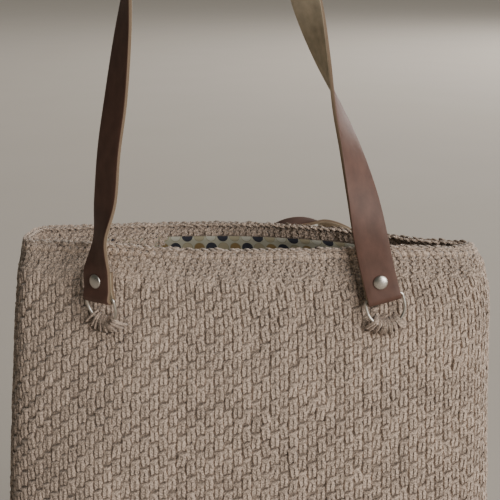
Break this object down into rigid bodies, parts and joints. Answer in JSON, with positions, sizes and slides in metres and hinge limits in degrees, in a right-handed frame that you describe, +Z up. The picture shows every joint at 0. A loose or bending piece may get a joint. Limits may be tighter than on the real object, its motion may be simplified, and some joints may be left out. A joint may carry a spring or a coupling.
{
  "type": "crocheted shoulder bag",
  "caption": "Tall soft crocheted tote with a dotted lining, D-rings in crochet tabs and leather shoulder straps; the front strap is hung up and the rear strap hangs behind.",
  "frame": {"origin": "under side of the front strap's top, where it hangs on a hook or peg", "axes": "+Z up, +X to the right as seen from the front, -Y towards the viewer; the bag's wide front faces -Y"},
  "size_m": [0.3395, 0.1276, 0.5412],
  "materials": {
    "crochet_cotton": "matte crocheted cord",
    "lining_cotton": "matte printed cotton",
    "leather": "satin grain, suede back",
    "nickel": "satin nickel plate"
  },
  "bodies": {
    "root": {"bag_body": "crochet_cotton", "lining": "lining_cotton", "strap_front": "leather", "strap_rear": "leather", "ring_tab_front_left": "crochet_cotton", "d_ring_front_left": "nickel", "rivet_front_left": "nickel", "ring_tab_front_right": "crochet_cotton", "d_ring_front_right": "nickel", "rivet_front_right": "nickel", "ring_tab_rear_right": "crochet_cotton", "d_ring_rear_right": "nickel", "rivet_rear_right": "nickel", "ring_tab_rear_left": "crochet_cotton", "d_ring_rear_left": "nickel", "rivet_rear_left": "nickel"}
  },
  "joints": []
}
